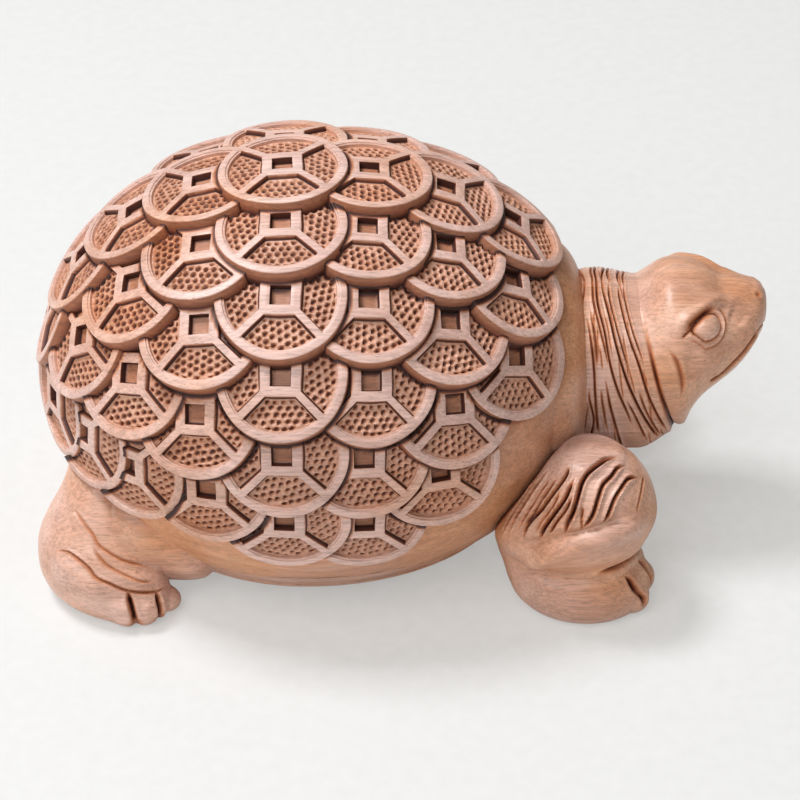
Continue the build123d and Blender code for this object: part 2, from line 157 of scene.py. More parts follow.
def node_tools(tree):
    """Functions that add a node to a tree and return its output: noise, ramp, mix and math. What
    they take may be sockets or values."""
    coords = tree.nodes.new("ShaderNodeTexCoord").outputs["Object"]

    def feed(node, values):
        """Links or sets a node's inputs, by label or number."""
        for label, value in values.items():
            if isinstance(value, bpy.types.NodeSocket):
                tree.links.new(value, node.inputs[label])
            else:
                node.inputs[label].default_value = value

    def noise(stretch, detail, rough, distort=0.0):
        """Noise with its own scale along each axis."""
        scaled = tree.nodes.new("ShaderNodeVectorMath")
        scaled.operation = "MULTIPLY"
        feed(scaled, {0: coords, 1: stretch})
        made = tree.nodes.new("ShaderNodeTexNoise")
        feed(made, {"Vector": scaled.outputs[0], "Scale": 1.0, "Detail": detail, "Roughness": rough,
                    "Distortion": distort})
        return made.outputs["Fac"]

    def ramp(value, *stops):
        """Colours or greys at places from 0 to 1."""
        made = tree.nodes.new("ShaderNodeValToRGB")
        while len(made.color_ramp.elements) < len(stops):
            made.color_ramp.elements.new(0.5)
        for element, (place, colour) in zip(made.color_ramp.elements, stops):
            element.position = place
            element.color = (*colour, 1.0) if isinstance(colour, tuple) else (colour,) * 3 + (1.0,)
        feed(made, {"Fac": value})
        return made.outputs["Color"]

    def mix(kind, factor, a, b):
        """Two colours blended."""
        made = tree.nodes.new("ShaderNodeMix")
        made.data_type = "RGBA"
        made.blend_type = kind
        feed(made, {"Factor": factor, "A": a, "B": b})
        return made.outputs["Result"]

    def math(kind, *terms):
        """Arithmetic on two or three terms."""
        made = tree.nodes.new("ShaderNodeMath")
        made.operation = kind
        feed(made, dict(enumerate(terms)))
        return made.outputs[0]

    return noise, ramp, mix, math


def wood_group():
    """Node group of the wood: colour, roughness and height from object coordinates, with fibres
    and pores drawn out along X, slow colour drift, a pale pinkish tone that is partly painted sheen,
    and cuts darkened with painted shade where recess is high."""
    group = bpy.data.node_groups.new("carved_wood", "ShaderNodeTree")
    for label, value in (("Recess", 0.0), ("Polish", 0.5), ("Warmth", 0.5)):
        socket = group.interface.new_socket(label, in_out="INPUT", socket_type="NodeSocketFloat")
        socket.default_value = value
    for label, kind in (("Color", "Color"), ("Roughness", "Float"), ("Height", "Float")):
        group.interface.new_socket(label, in_out="OUTPUT", socket_type="NodeSocket" + kind)
    given, result = group.nodes.new("NodeGroupInput"), group.nodes.new("NodeGroupOutput")
    links = group.links
    noise, ramp, mix, math = node_tools(group)
    fibre = noise((55.0, 1500.0, 1500.0), 4.0, 0.6)
    bands = noise((9.0, 150.0, 150.0), 3.0, 0.5, 0.6)
    drift = noise((26.0, 34.0, 34.0), 2.0, 0.5)
    pores = noise((260.0, 3600.0, 3600.0), 2.0, 0.5)
    # The pale pinkish tone is partly the wood's own colour and partly painted sheen, the whitish gloss of
    # light on waxed faces; the orange tone is the wood's own colour. Lower warmth gives more of the pale
    # tone.
    pink_tone_and_sheen = ramp(bands, (0.25, (0.53, 0.33, 0.27)), (0.55, (0.65, 0.43, 0.37)),
                (0.8, (0.71, 0.505, 0.445)))
    warm = ramp(bands, (0.25, (0.50, 0.21, 0.095)), (0.55, (0.63, 0.30, 0.155)),
                (0.8, (0.71, 0.385, 0.225)))
    warmth = math("ADD", math("SUBTRACT", drift, 0.5), given.outputs["Warmth"])
    tint = ramp(warmth, (0.32, 0.0), (0.68, 1.0))
    colour = mix("MIX", tint, pink_tone_and_sheen, warm)
    colour = mix("MULTIPLY", 0.7, colour, ramp(fibre, (0.3, 0.6), (0.62, 1.1)))
    colour = mix("MULTIPLY", 0.6, colour, ramp(pores, (0.3, 0.4), (0.42, 1.0)))
    # Painted shade: the recess value darkens the colour through warm browns to a deep red-brown in cuts,
    # hollows, corners and under overlaps.
    dark = ramp(given.outputs["Recess"], (0.0, (1.0, 1.0, 1.0)), (0.2, (0.84, 0.60, 0.40)),
                (0.4, (0.48, 0.26, 0.16)), (0.65, (0.15, 0.06, 0.04)), (1.0, (0.03, 0.008, 0.005)))
    colour = mix("MULTIPLY", 1.0, colour, dark)
    links.new(colour, result.inputs["Color"])
    gloss = math("MULTIPLY_ADD", given.outputs["Polish"], -0.34, 0.6)
    gloss = math("ADD", gloss, math("MULTIPLY_ADD", fibre, 0.16, -0.08))
    gloss = math("ADD", gloss, math("MULTIPLY", given.outputs["Recess"], 0.25))
    links.new(gloss, result.inputs["Roughness"])
    height = math("ADD", math("MULTIPLY", fibre, 0.6), math("MULTIPLY", pores, 0.4))
    links.new(height, result.inputs["Height"])
    return group


WOOD = wood_group()


def wood_material(name, polish, warmth, depth):
    """Waxed wood: the shared grain group drives colour, roughness and a fine bump of given depth."""
    material = bpy.data.materials.new(name)
    material.use_nodes = True
    nodes, links = material.node_tree.nodes, material.node_tree.links
    shader = nodes["Principled BSDF"]
    grain = nodes.new("ShaderNodeGroup")
    grain.node_tree = WOOD
    grain.inputs["Polish"].default_value = polish
    grain.inputs["Warmth"].default_value = warmth
    cuts = nodes.new("ShaderNodeAttribute")
    cuts.attribute_name = "recess"
    links.new(cuts.outputs["Fac"], grain.inputs["Recess"])
    bump = nodes.new("ShaderNodeBump")
    bump.inputs["Strength"].default_value = 0.6
    bump.inputs["Distance"].default_value = depth
    links.new(grain.outputs["Height"], bump.inputs["Height"])
    links.new(grain.outputs["Color"], shader.inputs["Base Color"])
    links.new(grain.outputs["Roughness"], shader.inputs["Roughness"])
    links.new(bump.outputs["Normal"], shader.inputs["Normal"])
    return material


def place(piece, material, slot, *nodes):
    """Gives a piece its wood and puts it in the frame in place of its CAD nodes."""
    piece.data.materials.append(material)
    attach(piece, "root")
    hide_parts(*nodes)


def shell_profile(count):
    """(x, r) along the shell's outline from the rear pole to the lip round the neck: two quarter
    ellipses, then a short bulging lip that turns in under the neck."""
    t = np.linspace(np.radians(2.0), np.pi / 2, count)
    rear = np.stack([-SHELL_REAR * np.cos(t), SHELL_RADIUS * np.sin(t)], -1)
    t = np.linspace(np.pi / 2, np.arcsin(LIP_START / SHELL_RADIUS), count)[1:]
    front = np.stack([SHELL_FRONT * np.cos(t), SHELL_RADIUS * np.sin(t)], -1)
    t = np.linspace(0.0, 1.0, 16)[1:, None]
    lip = (1 - t) * front[-1] + t * np.array(LIP_END) + LIP_BULGE * np.sin(np.pi * t)
    return np.concatenate([rear, front, lip, LIP_TURN])


def scale_cover(points, inset):
    """Share of the way under a scale on either flank: a ramp over the bed's edge of how far a point
    lies inside the nearest scale's edge, beginning at the inset."""
    deepest = np.full(points.shape[:-1], -FAR)
    flank = points.copy()
    flank[..., 1] = -np.abs(flank[..., 1])
    for seat, axes in SCALES.values():
        local = (flank - seat) @ axes.T
        near = SCALE_RADIUS - np.hypot(local[..., 0], local[..., 1])
        near = np.where(np.abs(local[..., 2]) < 12.0, near, -FAR)
        deepest = np.maximum(deepest, near)
    return smoothstep(inset, inset + BED_EDGE, deepest)


profile = shell_profile(115)
angle = np.linspace(0.0, 2 * np.pi, 320, endpoint=False)
tangent = unit(np.gradient(profile, axis=0))
points = np.empty((len(profile), len(angle), 3))
points[..., 0] = MIDDLE[0] + profile[:, :1]
points[..., 1] = -profile[:, 1:] * np.sin(angle)
points[..., 2] = MIDDLE[2] + profile[:, 1:] * np.cos(angle)
normal = np.empty_like(points)
normal[..., 0] = -tangent[:, 1:]
normal[..., 1] = -tangent[:, :1] * np.sin(angle)
normal[..., 2] = tangent[:, :1] * np.cos(angle)
under = scale_cover(points, BED_INSET)
points += normal * (SHELL_SKIN - BED_DEPTH * under)[..., None]
points[..., 2] = np.maximum(points[..., 2], BELLY_JOINT)
# The band just outside the scales' edges is darkened with painted shade.
edge = scale_cover(points, SHADE_INSET) - under
shell_body = mesh_piece("shell_body_wood", [(points, SHADE_DARK * edge)])
place(shell_body, wood_material("shell_wood", 0.6, 0.7, 0.00006), "shell_wood", "shell_body")

# Belly plate
# A flat slice of the same wood closes the underside; it carries on the shell's curve, its lower
# edge is rounded over, and four dowels and glue hold it.
BELLY_HEIGHT = 6.0
PLATE_ROUND = 2.2
PLATE_RINGS = [6.0, 10.0, 15.0, 20.0, 26.0, 32.0]


def belly_grid(columns):
    """Outlines of the shell at falling heights, each a pair of half ellipses scaled by the root of
    one less the square of height over radius; then a quarter-round edge and rings shrinking in."""
    t = np.linspace(0.0, 2 * np.pi, columns, endpoint=False)
    turn = np.linspace(0.0, np.pi / 2, 7)[1:]
    heights = np.concatenate([[BELLY_JOINT, BELLY_JOINT - 0.06],
                              np.linspace(13.4, BELLY_HEIGHT + PLATE_ROUND, 10),
                              BELLY_HEIGHT + PLATE_ROUND * (1 - np.sin(turn)),
                              np.full(len(PLATE_RINGS), BELLY_HEIGHT)])
    inset = np.concatenate([[0.05], np.zeros(11), PLATE_ROUND * (1 - np.cos(turn)), PLATE_RINGS])
    grow = SHELL_RADIUS + SHELL_SKIN
    small = np.sqrt(1 - ((np.maximum(heights, BELLY_HEIGHT + PLATE_ROUND) - MIDDLE[2]) / grow) ** 2)
    long = np.where(np.cos(t) > 0, SHELL_FRONT, SHELL_REAR) + SHELL_SKIN
    x = (small[:, None] * long - inset[:, None]) * np.cos(t)
    y = (small * grow - inset)[:, None] * np.sin(t)
    points = np.stack([x + MIDDLE[0], y, np.broadcast_to(heights[:, None], x.shape)], -1)
    return points[:, ::-1]


points = belly_grid(240)
belly = mesh_piece("belly_plate_wood", [(points, np.zeros(points.shape[:2]))])
place(belly, wood_material("belly_wood", 0.5, 0.55, 0.00006), "shell_wood", "belly_plate")

# Coin scales
# Round scales carved as old square-holed coins: a raised rim, a square hub with a square hole, four
# spokes, and four sunk panels punched all over with a round tool. Each row is glued on under the row
# above it, and each scale under its neighbour nearer the crown.
HUB, RIM_INNER = 4.7, 13.45
PANEL_DEPTH, LEDGE_DEPTH, HOLE_DEPTH, WALL_DEPTH = 1.25, 0.4, 2.0, 6.5
PANEL_HALF, PANEL_ANGLE = 3.36, radians(40.6)
PIT_PITCH, PIT_RADIUS, PIT_DEPTH, PIT_JITTER = 1.86, 0.75, 0.95, 0.1
COVER_GAP, COVER_EDGE = 3.2, 0.3
# Amounts of painted shade: on the sunk panel floors, at the feet of the panel walls, on the scales' walls
# (whose upper part also takes the wood's own orange tone), in the gaps below them, and in the corners beside
# a covering scale's edge.
PANEL_SHADE, FOOT_SHADE, WALL_TONE_AND_SHADE, GAP_SHADE, CORNER_SHADE = 0.14, 0.95, 0.33, 0.4, 0.95
# How far the carver's scales stray: turn in degrees, tip, shift in millimetres.
TURN_STRAY, TIP_STRAY, SHIFT_STRAY = 1.6, 0.012, 0.18


def sector_columns(dense):
    """Columns of one quarter of a scale as (offset along the hub's edge, angle at the rim, share of
    the panel's depth, painted shade at the wall's foot): half a spoke, the wall, the panel, the wall,
    half a spoke."""
    inside = np.linspace(-1.0, 1.0, 40 if dense else 10)
    shift = np.array([0.22, 0.08, -0.1, -0.26])
    share = np.array([0.0, 0.1, 0.92, 1.0])
    spoke = np.linspace(1.0, 0.0, 4 if dense else 2, endpoint=False)
    low = PANEL_HALF + shift[0]
    low_angle = PANEL_ANGLE + shift[0] / RIM_INNER
    edge_lat = np.concatenate([low + spoke * (HUB - low), PANEL_HALF + shift])
    edge_angle = np.concatenate([low_angle + spoke * (np.pi / 4 - low_angle),
                                 PANEL_ANGLE + shift / RIM_INNER])
    edge_share = np.concatenate([np.zeros(len(spoke)), share])
    edge_foot = np.concatenate([np.zeros(len(spoke)), [0.0, 0.45, FOOT_SHADE, 0.8]])
    lat = np.concatenate([-edge_lat, (PANEL_HALF - 0.4) * inside, edge_lat[::-1]])
    angle = np.concatenate([-edge_angle, (PANEL_ANGLE - 0.4 / RIM_INNER) * inside, edge_angle[::-1]])
    sunk = np.concatenate([edge_share, np.ones(len(inside)), edge_share[::-1]])
    foot = np.concatenate([edge_foot, np.zeros(len(inside)), edge_foot[::-1]])
    return np.stack([lat, angle, sunk, foot])[:, :-1]


def scale_rings():
    """Rings of a scale from the hole's floor outwards as (place, height, panel share): the place runs
    from -1 at the middle to 0 at the hub's edge, 1 at the rim's inner edge and on past it; the share
    tells how far the panel's depth applies."""
    hole = [(0.9, -HOLE_DEPTH), (2.0, -HOLE_DEPTH), (2.25, -HOLE_DEPTH + 0.15), (2.32, -0.3),
            (2.4, -0.06), (2.55, 0.0)]
    hub = [(3.4, 0.02), (4.2, 0.0), (4.55, 0.0)]
    square = np.array([(s / HUB - 1.0, z, 0.0) for s, z in hole + hub])
    gap = RIM_INNER - HUB
    wall = np.array([(0.0, 0.0, 0.1), (0.2 / gap, 0.0, 0.92), (0.35 / gap, 0.0, 1.0)])
    floor = np.linspace(0.55 / gap, 1.0 - 1.0 / gap, 28)
    panel = np.stack([floor, np.zeros(len(floor)), np.ones(len(floor))], -1)
    step = LEDGE_DEPTH / PANEL_DEPTH
    ledge = np.array([(1 - 0.78 / gap, 0.0, 1.0), (1 - 0.64 / gap, 0.0, step + 0.06),
                      (1 - 0.52 / gap, 0.0, step), (1 - 0.2 / gap, 0.0, step - 0.04),
                      (1 - 0.08 / gap, 0.0, 0.05), (1.0 + 0.1 / gap, 0.0, 0.0)])
    rim = np.array([(13.75, 0.02), (14.3, 0.03), (14.86, 0.03), (14.93, 0.02), (15.02, -0.03),
                    (15.08, -0.12), (15.12, -0.24), (15.14, -0.34), (15.22, -1.2), (15.34, -2.4),
                    (15.4, -3.6), (15.3, -WALL_DEPTH), (9.0, -WALL_DEPTH)])
    rim = np.stack([1.0 + (rim[:, 0] - RIM_INNER) / gap, rim[:, 1], np.zeros(len(rim))], -1)
    return np.concatenate([square, wall, panel, ledge, rim]).T


def punched(a, b, lean, rng):
    """Depth and darkness of pits on a jittered hexagonal lattice: each is a round bowl, one less the
    square of distance over its radius under a root, struck with the tool leaning, so that the side
    towards the lean is deeper. Their darkness is painted shade, a crescent darkest on that side."""
    turn, shift = rng.uniform(0.0, np.pi / 3), rng.uniform(0.0, PIT_PITCH, 2)
    i, j = np.meshgrid(np.arange(-9, 10), np.arange(-10, 11))
    u = (i + 0.5 * (j % 2)) * PIT_PITCH + shift[0]
    v = j * PIT_PITCH * 0.866 + shift[1]
    u = u + rng.normal(0.0, PIT_JITTER, u.shape)
    v = v + rng.normal(0.0, PIT_JITTER, u.shape)
    x = (u * np.cos(turn) - v * np.sin(turn)).ravel()
    y = (u * np.sin(turn) + v * np.cos(turn)).ravel()
    size = PIT_RADIUS * rng.uniform(0.88, 1.1, x.shape)
    off = np.hypot(a[..., None] - x, b[..., None] - y) / size
    nearest = off.argmin(axis=-1)
    bowl = np.sqrt(np.clip(1.0 - off.min(axis=-1) ** 2, 0.0, 1.0))
    toward = ((a - x[nearest]) * lean[0] + (b - y[nearest]) * lean[1]) / size[nearest]
    return bowl * (0.72 + 0.45 * toward), bowl * np.clip(0.5 + 1.0 * toward, 0.12, 1.0)


def tuck_under(points, seat, axes):
    """Points inside another scale's edge go at least the cover gap below that scale's face, and the
    corner along that edge is darkened with painted shadow."""
    local = (points - seat) @ axes.T
    radius = np.hypot(local[..., 0], local[..., 1])
    sunk = COVER_EDGE + (COVER_GAP - COVER_EDGE) * smoothstep(0.4, 1.6, SCALE_RADIUS - radius)
    limit = -sunk - radius ** 2 / (2 * SCALE_DOME)
    inside = (radius < SCALE_RADIUS - COVER_EDGE) & (local[..., 2] > limit) & (local[..., 2] < 8.0)
    shade = CORNER_SHADE * smoothstep(1.5, 0.3, radius - SCALE_RADIUS) * (np.abs(local[..., 2]) < 9.0)
    local[..., 2] = np.where(inside, limit, local[..., 2])
    return seat + local @ axes, shade


def scale_grid(column, row, seed, mirror):
    """One scale in its own frame: straight lines from hub square to rim circle carry the rings, the
    panels drop below them, and the whole face is the cap of a large sphere. Parts under another scale
    are pushed below that scale's face."""
    rng = np.random.default_rng(seed)
    side = (column > 0) - (column < 0)
    open_sides = [side >= 0 or row > 0, True, side <= 0 or row > 0, row == 0]
    rings, height, share = scale_rings()
    parts, depths = [], []
    turn = radians(rng.normal(0.0, TURN_STRAY))
    for quarter, dense in enumerate(open_sides):
        lat, angle, sunk, foot = sector_columns(dense)
        c, s = np.cos(turn + quarter * np.pi / 2), np.sin(turn + quarter * np.pi / 2)
        t = np.clip(rings, 0.0, 1.0)[:, None]
        hub = np.minimum(rings, 0.0)[:, None] + 1.0
        outer = np.maximum(rings - 1.0, 0.0)[:, None] * (RIM_INNER - HUB) + RIM_INNER
        a = (1 - t) * HUB * hub + t * outer * np.cos(angle)
        b = (1 - t) * lat * hub + t * outer * np.sin(angle)
        drop = np.minimum(sunk, share[:, None])
        z = height[:, None] - PANEL_DEPTH * drop
        # Painted shade: the square hole's floor and walls, the scales' walls darker towards their foot (their
        # upper part also takes the wood's own orange), the sunk panels and the feet of the panel walls.
        hole = np.interp(height, [-HOLE_DEPTH, -HOLE_DEPTH + 0.15, -0.3, -0.06], [0.3, 0.9, 0.65, 0.0])
        wall = WALL_TONE_AND_SHADE * smoothstep(-0.05, -0.3, height) + GAP_SHADE * smoothstep(-1.5, -4.0, height)
        hub_foot = FOOT_SHADE * np.exp(-((rings * (RIM_INNER - HUB) - 0.3) / 0.18) ** 2)
        deep = (hole * (rings < 0) + wall * (rings > 1))[:, None] + PANEL_SHADE * drop
        deep = np.maximum(deep, foot * (share[:, None] > 0.5))
        deep = np.maximum(deep, hub_foot[:, None] * (sunk > 0.5))
        if dense:
            inner = smoothstep(0.07, 0.14, t) * smoothstep(0.0, 0.05, 0.9 - t)
            lean = (-(c + s) * 0.7071, (s - c) * 0.7071)
            inner = inner * (drop > 0.99) * (np.abs(lat) < PANEL_HALF - 0.55)
            # The pits' darkness is painted shade, heaviest on the side the tool leaned towards.
            pits, pit_shade = punched(a, b, lean, rng)
            z = z - PIT_DEPTH * pits * inner
            deep = np.maximum(deep, pit_shade * inner)
        parts.append(np.stack([a * c - b * s, a * s + b * c, z], -1))
        depths.append(deep)
    local = np.concatenate(parts, axis=1)
    deep = np.concatenate(depths, axis=1)
    spread = np.hypot(local[..., 0], local[..., 1])
    round_turn = np.arctan2(local[..., 1], local[..., 0])
    wobble = 1.0 + 0.007 * np.sin(3 * round_turn + rng.uniform(0, 6))
    wobble = wobble + 0.005 * np.sin(5 * round_turn + rng.uniform(0, 6))
    local[..., :2] *= (wobble * rng.uniform(0.99, 1.01))[..., None]
    local[..., 2] -= spread ** 2 / (2 * SCALE_DOME)
    local[..., 2] += TIP_STRAY * rng.normal() * local[..., 0] + TIP_STRAY * rng.normal() * local[..., 1]
    local[..., :2] += rng.normal(0.0, SHIFT_STRAY, 2)
    seat, axes = SCALES[column, row]
    points = seat + local @ axes
    beside = (column - side, row) if side else None
    for cover in [(column - 1, row - 1), (column, row - 1), (column + 1, row - 1), beside]:
        if cover in SCALES:
            points, shade = tuck_under(points, *SCALES[cover])
            deep = np.maximum(deep, shade)
    if mirror:
        return points * MIRROR, deep
    return points[:, ::-1], deep[:, ::-1]


# The scales' low warmth gives them mostly the pale pinkish tone, which is partly painted sheen.
scale_wood = wood_material("scale_wood", 0.5, 0.3, 0.00005)
columns = sorted(LAST_ROW)
spine = mesh_piece("spine_scales_wood", [scale_grid(c, 0, 100 + c, False) for c in columns])
place(spine, scale_wood, "scale_wood", "spine_scales")
for row in range(1, 6):
    held = [c for c in columns if LAST_ROW[c] >= row]
    for flank, mirror in (("right", False), ("left", True)):
        grids = [scale_grid(c, row, 1000 * row + 100 * mirror + c, mirror) for c in held]
        scales = mesh_piece(f"{flank}_scale_row_{row}_wood", grids)
        place(scales, scale_wood, "scale_wood", f"{flank}_scale_row_{row}")

# Neck
# A short stout neck cut across the grain into irregular skin folds, thin deep cuts that fork and
# fade as they run round it. It is glued between shell and head on the long dowel.
NECK_START, NECK_END, NECK_LEAN = 60.0, 85.8, 0.29
NECK_RADIUS, NECK_RISE = 20.6, 1.6


def through(t, knots, values):
    """Smooth curve through values at rising knots: cubic pieces whose slope at a knot is the
    spacing-weighted mean of the slopes on either side."""
    knots, values = np.asarray(knots, float), np.asarray(values, float)
    values = values.reshape(len(knots), -1)
    gap = np.diff(knots)[:, None]
    rise = np.diff(values, axis=0) / gap
    inner = (rise[:-1] * gap[1:] + rise[1:] * gap[:-1]) / (gap[1:] + gap[:-1])
    slope = np.concatenate([rise[:1], inner, rise[-1:]])
    t = np.clip(t, knots[0], knots[-1])
    i = np.clip(np.searchsorted(knots, t, side="right") - 1, 0, len(knots) - 2)
    h = gap[i]
    s = (t - knots[i])[..., None] / h
    return ((1 + 2 * s) * (1 - s) ** 2 * values[i] + s * (1 - s) ** 2 * h * slope[i]
            + s * s * (3 - 2 * s) * values[i + 1] + s * s * (s - 1) * h * slope[i + 1])


def outward(points):
    """Unit normals of a grid whose columns close into rings: across its columns by along its rows."""
    across = np.roll(points, -1, axis=1) - np.roll(points, 1, axis=1)
    return unit(np.cross(across, np.gradient(points, axis=0)) + 1e-9)


def beside_line(points, line, step, reach):
    """Distance of each surface point to a smooth line through the given points, and how far along
    the line its nearest point lies, from 0 to 1; points out of reach get a large distance."""
    line = np.asarray(line)
    run = np.concatenate([[0.0], np.cumsum(np.linalg.norm(np.diff(line, axis=0), axis=1))])
    t = np.linspace(0.0, 1.0, max(8, int(run[-1] / step)))
    path = through(t * run[-1], run, line)
    flat = points.reshape(-1, 3)
    near = np.where(((flat > path.min(0) - reach) & (flat < path.max(0) + reach)).all(1))[0]
    off = np.linalg.norm(flat[near, None] - path, axis=-1)
    distance, along = np.full(len(flat), FAR), np.zeros(len(flat))
    distance[near], along[near] = off.min(axis=1), t[off.argmin(axis=1)]
    return distance.reshape(points.shape[:2]), along.reshape(points.shape[:2])


def fading(along, fade):
    """1 along the middle of a line, running out to 0 over a share of its length at both ends."""
    return smoothstep(0.0, fade, along) * smoothstep(0.0, fade, 1.0 - along)


def carved(points, lines, fade):
    """Knife cuts along lines on a surface, each given as (points, width, depth, lip): a cut falls
    off as a bell of the distance to its line, thins out towards the line's ends and throws up a
    low lip on either side. Returns the change of height and the painted shade in the cuts."""
    cut_height, lips, dark = np.zeros((3, *points.shape[:2]))
    for line, width, depth, lip in lines:
        off, along = beside_line(points, line, 0.3 * width, 6 * width)
        strength = fading(along, fade)
        off = off / (width * (0.35 + 0.65 * strength))
        cut = np.exp(-off ** 2) * strength
        cut_height = np.minimum(cut_height, -depth * cut)
        lips = np.maximum(lips, lip * np.exp(-((off - 2.3) / 1.1) ** 2) * strength)
        dark = np.maximum(dark, cut * min(1.0, 0.25 + 0.55 * depth))
    return cut_height + lips, dark


def swelling(points, line, width, height, fade=0.3):
    """A soft roll or hollow along a line: a bell of the distance to it, fading at both ends."""
    off, along = beside_line(points, line, 0.15 * width, 3 * width)
    return height * np.exp(-(off / width) ** 2) * fading(along, fade)


def neck_surface(turn, along):
    """Tube round the body axis whose rings lean from upright at the shell to the head's joint; it
    thins towards the joint and sags at the throat."""
    top, low = np.cos(turn), smoothstep(0.1, 0.9, -np.cos(turn))
    crest = 0.8 * np.exp(-((along - 0.5) / 0.22) ** 2) - 1.1 * smoothstep(0.6, 1.0, along)
    radius = NECK_RADIUS + crest * np.maximum(top, 0.0)
    radius = radius + 2.8 * low * smoothstep(0.15, 0.55, along)
    radius = radius - 4.9 * low * smoothstep(0.66, 1.05, along)
    x = NECK_START + along * (NECK_END - NECK_LEAN * radius * top - NECK_START)
    return MIDDLE + np.stack([x, -radius * np.sin(turn), NECK_RISE + radius * top], -1)


# Folds as (turn from the top in degrees, place along the neck) pairs, then width and depth.
NECK_FOLDS = [
    ([(-22, 0.36), (8, 0.34), (20, 0.3), (32, 0.29)], 0.21, 0.5),
    ([(22, 0.32), (35, 0.35), (58, 0.37), (83, 0.36), (110, 0.36), (150, 0.38)], 0.24, 0.9),
    ([(26, 0.38), (38, 0.41), (52, 0.415), (66, 0.4)], 0.22, 0.7),
    ([(-24, 0.51), (0, 0.5), (20, 0.49), (40, 0.53), (58, 0.54), (79, 0.58), (100, 0.64), (125, 0.68)],
     0.24, 1),
    ([(-12, 0.44), (3, 0.45), (17, 0.44), (38, 0.48), (55, 0.515), (70, 0.52)], 0.21, 0.7),
    ([(-20, 0.58), (6, 0.57), (28, 0.61), (49, 0.64), (73, 0.69), (97, 0.76), (120, 0.83), (165, 0.86)],
     0.25, 1.2),
    ([(-14, 0.67), (14, 0.64), (34, 0.67), (56, 0.71), (74, 0.74)], 0.22, 0.8),
    ([(-26, 0.77), (13, 0.76), (40, 0.79), (61, 0.84), (86, 0.87), (110, 0.92), (150, 0.95)], 0.24, 1),
    ([(-18, 0.83), (13, 0.82), (38, 0.845), (54, 0.88), (68, 0.905)], 0.21, 0.7),
    ([(62, 0.47), (78, 0.48), (93, 0.49), (107, 0.51), (134, 0.54), (180, 0.55)], 0.25, 0.9),
    ([(70, 0.31), (84, 0.3), (104, 0.33), (125, 0.3), (160, 0.3)], 0.24, 0.8),
    ([(64, 0.78), (92, 0.8), (118, 0.86), (140, 0.88)], 0.22, 0.7),
    ([(72, 0.43), (88, 0.42), (104, 0.43), (130, 0.46)], 0.21, 0.6),
    ([(80, 0.62), (98, 0.69), (118, 0.74), (150, 0.76)], 0.22, 0.8),
    ([(6, 0.27), (40, 0.25), (80, 0.25), (120, 0.25)], 0.21, 0.4),
]
# Fine strokes between the folds. The folds on the left lie a little further on.
STROKES, STROKE_WIDTH, STROKE_DEPTH, STROKE_LIP, STROKE_STRAY = 80, 0.19, 0.3, 0.06, 0.004
FOLD_LIP, LEFT_SHIFT = 0.15, 0.006
turn, along = np.meshgrid(np.linspace(0, 2 * np.pi, 260, endpoint=False), np.linspace(0.0, 1.0, 150))
base = neck_surface(turn, along)
lines = []
for fold, width, depth in NECK_FOLDS:
    fold = np.array(fold, float)
    for side in (1, -1):
        line = neck_surface(np.radians(fold[:, 0]) * side, fold[:, 1] + (LEFT_SHIFT if side < 0 else 0.0))
        lines.append((line, width, depth, FOLD_LIP))
rng = np.random.default_rng(7)
least, most = (0.25, 0.16, 0.25, -0.04), (2 * np.pi - 0.25, 0.92, 0.8, 0.04)
sweep = np.linspace(0.0, 1.0, 5)
for start, at, span, sway in rng.uniform(least, most, (STROKES, 4)):
    line = neck_surface(start + span * sweep, at + sway * sweep + rng.normal(0.0, STROKE_STRAY, len(sweep)))
    lines.append((line, STROKE_WIDTH, STROKE_DEPTH, STROKE_LIP))
height, dark = carved(base, lines, 0.25)
tuck = smoothstep(0.955, 1.0, along) * (0.05 + 1.4 * smoothstep(0.9, 0.2, np.cos(turn)))
points = base + outward(base) * (height - tuck)[..., None]
# The cuts and the groove where the neck tucks in at the head are darkened with painted shade.
neck = mesh_piece("neck_wood", [(points, np.clip(np.maximum(0.85 * dark, 0.55 * tuck), 0.0, 1.0))])
# The limbs' middling warmth mixes some of the pale pinkish tone, partly painted sheen, into the orange.
limb_wood = wood_material("limb_wood", 0.62, 0.5, 0.00005)
place(neck, limb_wood, "limb_wood", "neck")

# Head
# Carved from one block with its grain along the snout: a domed crown, lidded eyes under a brow, a
# mouth line curving up to a blunt nose, and a jowl fold. Glued to the neck on the dowel's end.
# Sections as (station ahead of the shell's middle, rise of the section's middle, radius).
HEAD_SECTIONS = np.array([
    (84.4, 4.2, 20.4), (86, 4.9, 20.2), (90, 7, 19.2), (95.5, 9.2, 16.6), (100.5, 10.2, 13.7),
    (104.5, 11.6, 11.4), (107.2, 13.2, 9.3), (109.2, 14.7, 7.1), (110.5, 15.6, 4.8), (111.1, 16.1, 2.6),
    (111.3, 16.3, 0.3)])
HEAD_START, HEAD_END = 84.4, 111.3
EYE_TURN, EYE_STATION, EYE_HEIGHT, EYE_LENGTH = radians(54.3), 95.85, 3.15, 2.8
# Lines on the head as (turn from the top in degrees, station) pairs.
BROW = [(53, 88.5), (50, 90.6), (44.5, 92.4), (39, 94.4), (33, 96.5), (29.5, 98.2), (29.5, 101.5), (32, 106)]
SNOUT_HOLLOW = [(42, 100.6), (47, 102.6), (54, 104.5), (62, 105.5)]
CHEEK = [(75, 92), (82, 95), (88, 98.5), (88, 102)]
EYE_CORNER = [(51, 93.4), (53, 92.7), (55, 91.9), (57.5, 90.7)]
UNDER_BROW = [(55, 91.2), (50, 92.7), (45, 94.5), (40, 96.4), (36, 98.2)]
JOWL = [(58.5, 87.9), (70.5, 89.3), (82.5, 89.8), (95, 89.6), (103.5, 88.4)]
MOUTH = [(110.5, 96.9), (112, 99.2), (108.5, 101.7), (105, 103.7), (101.5, 105.7), (97.5, 107.3), (94, 108.6)]
LIPS = [(97.5, 107.3), (94, 108.6), (98, 109.9), (130, 110.7), (180, 110.85)]
NOSTRIL = [(25, 108.7)]


